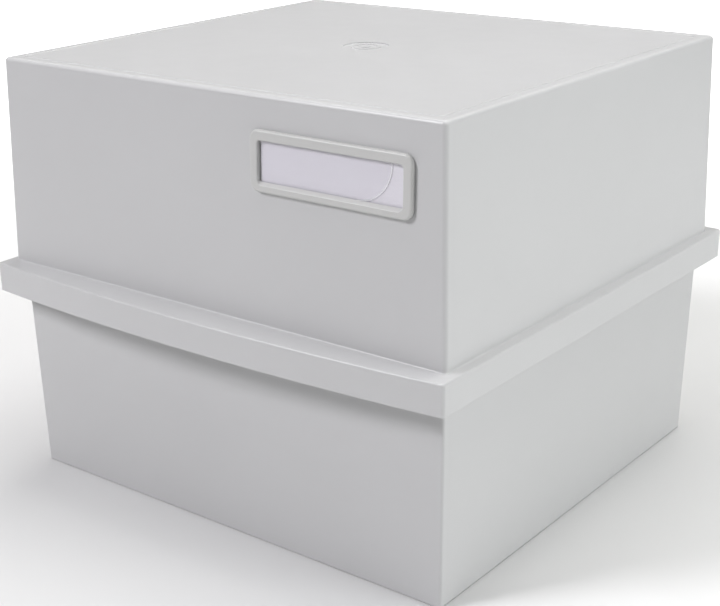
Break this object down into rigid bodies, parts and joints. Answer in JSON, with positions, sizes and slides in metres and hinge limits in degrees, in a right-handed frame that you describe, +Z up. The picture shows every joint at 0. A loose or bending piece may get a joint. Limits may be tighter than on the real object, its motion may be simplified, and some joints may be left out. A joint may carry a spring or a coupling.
{
  "type": "archive box",
  "caption": "Rectangular plastic archive box with a deep lift-off lid, a bowed grip band, a framed label and support plates inside",
  "frame": {"origin": "middle of the footprint, on the surface the box stands on (the underside of the foot rim)", "axes": "+Z up, -Y out of the front wall that carries the label, +X to the right when looking at the label"},
  "size_m": [0.3394, 0.3414, 0.268],
  "materials": {
    "box_plastic": "light grey injection-moulded polystyrene, satin, with a very fine grain",
    "frame_plastic": "slightly warmer light grey moulded plastic, smooth and satin",
    "plate_steel": "folded 1.2 mm sheet steel with a mid grey powder coat",
    "label_paper": "plain white card, uncoated, no print",
    "clear_film": "clear glossy plastic film, 0.5 mm"
  },
  "bodies": {
    "tray": {"tray": "box_plastic"},
    "lid": {"lid": "box_plastic", "label_frame": "frame_plastic", "label_card": "label_paper", "label_window": "clear_film"},
    "front_plate": {"front_support_plate": "plate_steel"},
    "rear_plate": {"rear_support_plate": "plate_steel"}
  },
  "joints": [
    {"name": "lid_lift", "type": "slide", "parent": "tray", "child": "lid", "axis": [0, 0, 1], "range_m": [0, 0.16]},
    {"name": "front_plate_slide", "type": "slide", "parent": "tray", "child": "front_plate", "axis": [0, 1, 0], "range_m": [0, 0.064]},
    {"name": "rear_plate_slide", "type": "slide", "parent": "tray", "child": "rear_plate", "axis": [0, -1, 0], "range_m": [0, 0.064]}
  ]
}
